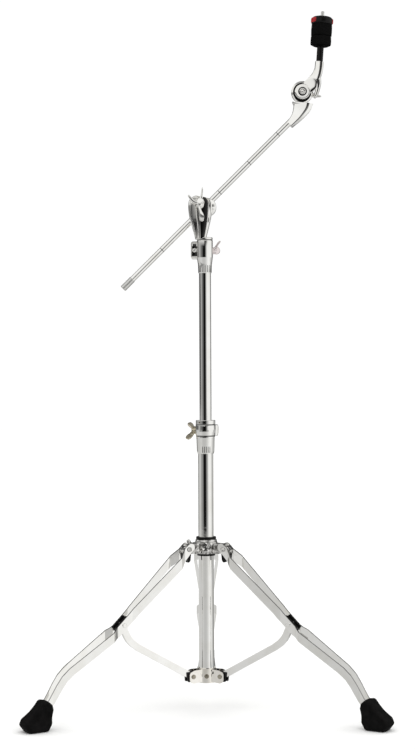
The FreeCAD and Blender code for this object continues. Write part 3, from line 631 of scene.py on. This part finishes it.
stem_face = [(-1, -3.0), (-0.9, -6.6), (0.04, -8.2), (0.10, -7.9), (0.66, -8.0), (0.72, -7.2), (0.94, -5.6),
             (1, -3.0)]
stem_back = [(-1, 3.0), (-0.8, 6.6), (0, 7.7), (0.8, 6.6), (1, 3.0)]
arm = casting(smooth_stations([(208.2, 1169, 6.6), (211.2, 1178, 7.4), (213.0, 1187, 7.7),
                               (214.0, 1195, 7.8), (214.6, 1202.2, 7.7)]), stem_face, stem_back)
web = loft(smooth_stations([(184, 1147, 9.5, -7.6, -4.4), (191, 1153, 12.0, -7.6, -4.4),
                            (199.5, 1160.5, 12.4, -7.6, -4.2), (205.2, 1169, 10.8, -7.0, -1.0),
                            (209.4, 1178.5, 8.6, -5.6, 4), (212, 1188, 7.2, -5.0, 5)]), 3.2)
arm.add(web.bent(lean_left(-4.4, 0.20, 205)))
arm.add(loft(smooth_stations([(209.5, 1170, 8.0, -7.9, 7.6), (211.8, 1161, 5.6, -8.2, 8.0),
                              (211.0, 1152, 4.4, -8.2, 8.0), (208.6, 1143.5, 3.8, -8.0, 8.0),
                              (206.2, 1137, 2.6, -7.4, 7.4), (205.4, 1134.4, 0.8, -4, 4)]), 3.2))
disc = lathe([(0, -3.6, 0), (14.2, -3.6, 0.5), (14.2, 6.8, 1.0), (13.3, 7.9, 0.8), (12.0, 8.1, 1.0),
              (0, 8.2, 0)], 96)
arm.add(disc.bent(lambda v: (v.x, v.y, v.z + (0.14 * v.x if v.z > 5 else 0))), ROUND)
arm.piece("upper_arm_casting", "cymbal_arm", CHROME, ("tilter_upper_arm",), sharp=7)

swept = [(CYM_X + 5, CYM_Z - 0.6, 4.6, 16.0, 20.0), (CYM_X + 14, CYM_Z - 1.8, 4.4, 16.6, 20.6),
         (CYM_X + 27, CYM_Z - 3.5, 3.4, 17.4, 20.6), (CYM_X + 35, CYM_Z - 4.6, 1.9, 18.0, 20.0),
         (CYM_X + 37, CYM_Z - 4.9, 0.5, 18.6, 19.4)]
short = [(CYM_X - 5, CYM_Z + 0.6, 4.4, 16.0, 20.0), (CYM_X - 11, CYM_Z + 1.4, 3.8, 16.6, 20.4),
         (CYM_X - 15, CYM_Z + 2.0, 1.8, 17.6, 19.8), (CYM_X - 16, CYM_Z + 2.1, 0.5, 18.2, 19.2)]
nut = lathe([(4.06, 12.4, 0), (7.2, 12.4, 0.6), (8.6, 14.4, 1.2), (8.2, 19.2, 1.4), (4.06, 19.8, 0)],
            48, closed=True)
nut = nut.moved(frame_at((CYM_X, 0, CYM_Z), (0, 1, 0), (1, 0, 0)))
nut.add(loft(smooth_stations(swept), 2.2, 28)).add(loft(smooth_stations(short), 2.2, 28))
nut.piece("arm_wing_nut", "cymbal_wing", CHROME, ("cymbal_tilt_wing",))


# ---------------------------------------------------------------- boom grooves, painted shade

# Painted shade: dark rings laid in the four grooves of the boom rod, which passes BOOM_DROP below the tilt
# axis.
BOOM_ANGLE = math.radians(44.7)
BOOM_DROP = 9.0
BOOM = frame_at((TILT_X + BOOM_DROP * math.sin(BOOM_ANGLE), 0, TILT_Z - BOOM_DROP * math.cos(BOOM_ANGLE)),
                (math.cos(BOOM_ANGLE), 0, math.sin(BOOM_ANGLE)), (0, 1, 0))
GROOVE_FLOOR, GROOVE_SHADE_TOP, GROOVE_WIDTH = 5.12, 5.45, 1.0
marks = Shape()
for place in (-109.0, 42.0, 119.5, 195.0):
    ring = [(radius, place + step, 0)
            for radius, step in ((GROOVE_FLOOR, 0), (GROOVE_SHADE_TOP, 0), (GROOVE_SHADE_TOP, GROOVE_WIDTH),
                                 (GROOVE_FLOOR, GROOVE_WIDTH))]
    marks.add(lathe(ring, closed=True))
marks.moved(BOOM).piece("boom_groove_shade", "boom", BLACK_NYLON, (), "black_plastic")


# ---------------------------------------------------------------- column clamps

def sector(inner, outer, middle, half, low, high):
    """Curved block between two radii, its turns in degrees."""
    rings = []
    for step in range(5):
        turn = math.radians(middle - half + half * step / 2)
        rings.append([(r * math.cos(turn), r * math.sin(turn), z)
                      for r, z in ((inner, low), (outer, low), (outer, high), (inner, high))])
    return Shape().rings(rings)


def ear(reach, low, high, near, far, slant):
    """Clamp ear from beside the slit out to reach, whose front falls back towards its end."""
    side = math.copysign(1, reach)
    middle = (low + high) / 2
    half = (high - low) / 2
    span = abs(reach)
    return loft([(side * 1.2, middle, half * 0.98, near + 2, far), (side * 2, middle, half, near + 1, far),
                 (side * (span * 0.6), middle, half, near, far),
                 (side * (span - 3), middle, half, near + slant * 0.5, far),
                 (side * (span - 1.2), middle, half - 0.6, near + slant * 0.8, far - 0.6),
                 (side * (span - 0.5), middle, half - 1.6, near + slant + 0.4, far - 1.6)], 5, 56)


collar = lathe([(14.34, 475, 0), (15.6, 475, 0.8), (16.4, 479, 1), (17.3, 504, 1), (17.5, 507, 0.4),
                (16.6, 507.5, 0.2), (16.6, 508.3, 0.2), (18.4, 508.8, 0.8), (19.0, 518, 12),
                (18.6, 527.6, 0.8), (17.6, 528.5, 0.3), (14.02, 528.5, 0), (14.02, 510.1, 0),
                (14.34, 510.1, 0)], 120, closed=True)
collar.add(ear(24.0, 507, 528.5, 9, 25, 5)).add(ear(-17.5, 507, 528.5, 9, 25, 2))
collar.piece("base_clamp_casting", "stand_base", CHROME, ("base_clamp",))
# Painted shade: a black ring in the groove where the clamp's body meets its band. The same piece holds five
# small dark blocks on the body below.
base_gap_shade = lathe([(16.4, 507.3, 0), (18.1, 507.3, 0.3), (18.1, 508.5, 0.3), (16.4, 508.5, 0)], 96, closed=True)
for turn in (250, 262, 274, 286, 298):
    base_gap_shade.add(sector(15.6, 16.75, turn, 1.9, 477.2, 488.6))
base_gap_shade.piece("base_clamp_painted_shade", "stand_base", BLACK_NYLON, (), "black_plastic")
# Painted shade: a thin black ring in the gap between the base clamp's top and the memory ring.
top_gap_shade = lathe([(11.4, 528.56, 0), (18.5, 528.56, 0.3), (18.5, 529.3, 0.2), (11.4, 529.3, 0)],
                 96, closed=True)
top_gap_shade.piece("memory_ring_painted_shade", "middle", BLACK_NYLON, (), "black_plastic")

collar = lathe([(11.12, 810, 0), (12.4, 810, 0.8), (12.9, 826, 6), (14.6, 837, 4), (14.9, 839, 0.6),
                (14.9, 869.6, 0.8), (14.2, 871, 0.4), (11.6, 871, 0), (11.6, 836.1, 0),
                (11.12, 836.1, 0)], 120, closed=True)
collar.add(ear(13.5, 837, 870.5, 6, 22, 3))
collar.add(ear(-25.5, 837, 870.5, 8.6, 22, 0))
frame_line = rounded([(-13, 838.0, 3), (-13, 869.6, 3), (-26.0, 869.6, 4), (-26.0, 838.0, 4)])
collar.add(relief(dense(frame_line), (-19.5, 853.8),
                  [(4.4, 12), (0.1, 12), (0, 9.5), (0.4, 7.4), (1.3, 6.2), (2.3, 7.0), (2.8, 8.4),
                   (3.4, 12)]))
collar.piece("upper_clamp_casting", "middle", CHROME, ("upper_clamp",))
cap = lathe([(0, 0, 0), (4.4, 0, 0.3), (4.0, 1.6, 0.8), (2.8, 2.6, 0.8), (1.6, 1.6, 0.4), (0, 1.5, 0)], 6)
cap.moved(frame_at((-19.4, 8.7, 853.8), (0, -1, 0), (0.3, 0, 1))).piece("upper_clamp_cap", "middle", CHROME)
ribs = Shape()
for index in range(10):
    ribs.add(sector(12.0, 12.95, 200 + index * 15.5, 2.1, 811.5, 824.5))
ribs.piece("upper_clamp_ribs", "middle", BLACK_NYLON, (), "black_plastic")


# ---------------------------------------------------------------- column wing bolts

def clamp_wing(name, body, node, seat, up, across, boss, arms, material=WARM_CHROME):
    """Arms are (side, reach, rise, half) petals in the seat's own XZ plane."""
    lists = []
    for side, reach, rise, half in arms:
        start = boss * 0.45
        lists.append([(side * 1.5, start, half * 0.55, -2.4, 2.4),
                      (side * reach * 0.45, start + rise * 0.35, half * 0.8, -2.2, 2.2),
                      (side * reach * 0.75, start + rise * 0.72, half, -2.0, 2.0),
                      (side * reach * 0.95, start + rise * 0.95, half * 0.7, -1.6, 1.6),
                      (side * reach, start + rise, half * 0.2, -0.6, 0.6)])
    shape = wing(7.2, boss, [])
    for stations in lists:
        paddle = loft(smooth_stations(stations), 2.3, 28)
        shape.add(paddle)
    return shape.moved(frame_at(seat, up, across)).piece(name, body, material, (node,))


clamp_wing("base_wing_casting", "base_wing", "base_wing_bolt", (-17.7, 20.2, 518), (-1, 0, 0),
           (0, -0.72, -0.7), 9.0, [(1, 23, 13, 5.4), (-1, 19, 9.5, 5.0)])
upper = wing(6.4, 7.5, []).moved(frame_at((13.7, 17.2, 853), (1, 0, 0), (0, 0, 1)))
tab = lathe([(0, -1.8, 0), (6.4, -1.8, 0.8), (7.3, -1.0, 0.6), (7.3, 1.0, 0.6), (6.4, 1.8, 0.6),
             (5.6, 2.3, 0.8), (0, 2.5, 0)], 56)
upper.add(tab, frame_at((21.3, 9.5, 853), (0.33, -0.94, 0), (1, 0, 0)))
upper.add(loft([(15.5, 853, 3.2, 8, 18), (18.5, 853, 3.0, 8.6, 14), (21, 853, 2.6, 9, 12)], 2.4, 28))
slim_tab = [(17, 855, 2.4, 15, 19.4), (21.5, 861.5, 2.0, 15.2, 19.0), (25.5, 867.5, 2.1, 15.6, 18.4),
            (28.4, 870.4, 1.6, 16, 18), (29.6, 871.4, 0.4, 16.6, 17.4)]
upper.add(loft(smooth_stations(slim_tab), 2.2, 28))
upper.piece("upper_wing_casting", "upper_wing", ROSE_CHROME, ("upper_wing_bolt",))
bush = lathe([(14.36, 286, 0), (16.95, 286, 0.4), (16.95, 316.6, 0), (18.7, 316.6, 0.4), (18.7, 320.6, 1),
              (17.4, 321, 0.4), (14.36, 321, 0)], 96, closed=True)
bush.piece("hub_bush_sleeve", "hub", BLACK_NYLON, ("hub_bush",), "black_plastic")
lip = lathe([(17.0, 312.6, 0), (20.2, 312.6, 0.4), (19.6, 315.4, 0.8), (18.4, 316.4, 0.4),
             (17.0, 316.4, 0)], 96, closed=True)
lip.piece("hub_lip", "hub", HUB_CHROME)
HUB_TURN = math.radians(150)
HUB_SEAT = 27.8
clamp_wing("hub_wing_casting", "hub_wing", "hub_wing_bolt",
           (HUB_SEAT * math.cos(HUB_TURN), HUB_SEAT * math.sin(HUB_TURN), 301),
           (math.cos(HUB_TURN), math.sin(HUB_TURN), 0), (0, 0, 1), 8.0,
           [(1, 11.5, 9, 4.0), (-1, 13, 9, 4.4)], HUB_CHROME)


# ---------------------------------------------------------------- studio

CAMERA_DISTANCE = 2.824
CAMERA_HEIGHT = 0.621
CAMERA_LENS = 72.9
CAMERA_SIDE = 0.0039
CAMERA_ROLL = math.radians(0.25)
FLOOR_FRONT = -2.95
SUN_ENERGY = 2.6
SUN_SPREAD = math.radians(120)
# Reflected tones round the object, degrees from the camera's side towards +X, from the floor upwards.
FLOOR_BANDS = [(-180, 0.70), (-128, 0.62), (-100, 0.60), (-80, 0.60), (-60, 0.66), (-40, 0.56),
               (-24, 0.52), (0, 0.54), (20, 0.66), (40, 0.86), (62, 0.96), (80, 0.82),
               (96, 0.60), (108, 0.62), (118, 0.10), (132, 0.30), (150, 0.60), (180, 0.70)]
LOW_BANDS = [(-180, 0.50), (-140, 0.08), (-128, 0.50), (-100, 0.58), (-80, 0.56), (-66, 0.28), (-46, 0.28),
             (-34, 0.06), (-26, 0.003), (-4, 0.003), (4, 0.06), (14, 0.28), (30, 0.46),
             (42, 0.92), (88, 0.90), (108, 0.34), (135, 0.55), (180, 0.50)]
LEVEL_BANDS = [(-180, 0.20), (-140, 0.04), (-124, 0.20), (-104, 0.09), (-94, 0.16), (-80, 0.52), (-66, 0.26),
               (-50, 0.16), (-34, 0.08), (-24, 0.003), (1, 0.003), (9, 0.12), (20, 0.52),
               (34, 0.90), (100, 0.92), (118, 0.42), (135, 0.06), (150, 0.30), (180, 0.20)]
HIGH_BANDS = [(-180, 0.06), (-138, 0.05), (-122, 0.35), (-108, 0.90), (-20, 0.93), (-9, 0.80), (-5, 0.05),
              (24, 0.02), (34, 0.30), (42, 0.90), (112, 0.92), (124, 0.30), (138, 0.05), (180, 0.06)]
TOP_BANDS = [(-180, 0.10), (-140, 0.07), (-120, 0.70), (-60, 0.95), (60, 0.95), (120, 0.70), (140, 0.07),
             (180, 0.10)]
ZENITH_BANDS = [(-180, 0.34), (180, 0.34)]
BAND_HEIGHTS = [(-0.118, -0.100), (-0.045, -0.015), (0.115, 0.155), (0.30, 0.42), (0.72, 0.90)]


def plane(name, x0, x1, y0, y1, z):
    """Level rectangle that belongs to the stage, not to the part."""
    mesh = bpy.data.meshes.new(name)
    mesh.from_pydata([(x0, y0, z), (x1, y0, z), (x1, y1, z), (x0, y1, z)], [], [(0, 1, 2, 3)])
    item = bpy.data.objects.new(name, mesh)
    bpy.context.scene.collection.objects.link(item)
    return item


def studio_floor():
    """White paper for the camera; mirrors see the tones of the room below the horizon instead."""
    floor = plane("floor", -9, 9, FLOOR_FRONT, 14, 0.0)
    material, nodes, shader = surface("floor_paper", Specular_IOR_Level=0.1, Roughness=0.9)
    paper = nodes.noise(3, 2)
    nodes.link(nodes.colours(paper, [(0.3, (0.86, 0.86, 0.855)), (0.7, (0.88, 0.88, 0.88))]),
               shader.inputs["Base Color"])
    floor.data.materials.append(material)
    floor.visible_glossy = False


def studio_world():
    """White to the camera; in reflections, soft bands round the horizon under a pale ceiling."""
    world = bpy.data.worlds.new("studio")
    world.use_nodes = True
    bpy.context.scene.world = world
    nodes = Nodes(world.node_tree)
    place = nodes.add("ShaderNodeTexCoord")
    split = nodes.add("ShaderNodeSeparateXYZ")
    nodes.link(place.outputs["Generated"], split.inputs["Vector"])
    flip = nodes.add("ShaderNodeMath", operation="MULTIPLY")
    flip.inputs[1].default_value = -1
    nodes.link(split.outputs["Y"], flip.inputs[0])
    turn = nodes.add("ShaderNodeMath", operation="ARCTAN2")
    nodes.link(split.outputs["X"], turn.inputs[0])
    nodes.link(flip.outputs["Value"], turn.inputs[1])
    share = nodes.between(turn.outputs["Value"], 0, 1, (-math.pi, math.pi))
    colour = None
    rows = [FLOOR_BANDS, LOW_BANDS, LEVEL_BANDS, HIGH_BANDS, TOP_BANDS, ZENITH_BANDS]
    for bands, heights in zip(rows, [None] + BAND_HEIGHTS):
        stops = [((degrees + 180) / 360, (level, level, level * 0.985)) for degrees, level in bands]
        row = nodes.colours(share, stops)
        if colour is None:
            colour = row
            continue
        mix = nodes.add("ShaderNodeMixRGB")
        nodes.link(nodes.between(split.outputs["Z"], 0, 1, heights), mix.inputs["Fac"])
        nodes.link(colour, mix.inputs["Color1"])
        nodes.link(row, mix.inputs["Color2"])
        colour = mix.outputs["Color"]
    gloss = nodes.add("ShaderNodeBackground")
    nodes.link(colour, gloss.inputs["Color"])
    white = nodes.add("ShaderNodeBackground", Color=(1, 1, 1, 1), Strength=1.02)
    path = nodes.add("ShaderNodeLightPath")
    choose = nodes.add("ShaderNodeMixShader")
    nodes.link(path.outputs["Is Camera Ray"], choose.inputs["Fac"])
    nodes.link(gloss.outputs["Background"], choose.inputs[1])
    nodes.link(white.outputs["Background"], choose.inputs[2])
    output = nodes.add("ShaderNodeOutputWorld")
    nodes.link(choose.outputs["Shader"], output.inputs["Surface"])


def studio_light():
    """Wide soft overhead light that mirrors don't show."""
    light = bpy.data.lights.new("overhead", "SUN")
    light.energy = SUN_ENERGY
    light.angle = SUN_SPREAD
    item = bpy.data.objects.new("overhead", light)
    item.rotation_euler = (math.radians(-12), math.radians(8), 0)
    item.visible_glossy = False
    bpy.context.scene.collection.objects.link(item)


def studio_camera():
    """Camera straight in front of the stand."""
    camera = bpy.data.cameras.new("camera")
    camera.sensor_width = 36.0
    camera.lens = CAMERA_LENS
    item = bpy.data.objects.new("camera", camera)
    item.location = (CAMERA_SIDE, -CAMERA_DISTANCE, CAMERA_HEIGHT)
    item.rotation_euler = (math.radians(90), CAMERA_ROLL, 0)
    bpy.context.scene.collection.objects.link(item)
    bpy.context.scene.camera = item


studio_floor()
studio_world()
studio_light()
studio_camera()
bpy.context.scene.view_settings.view_transform = "Standard"
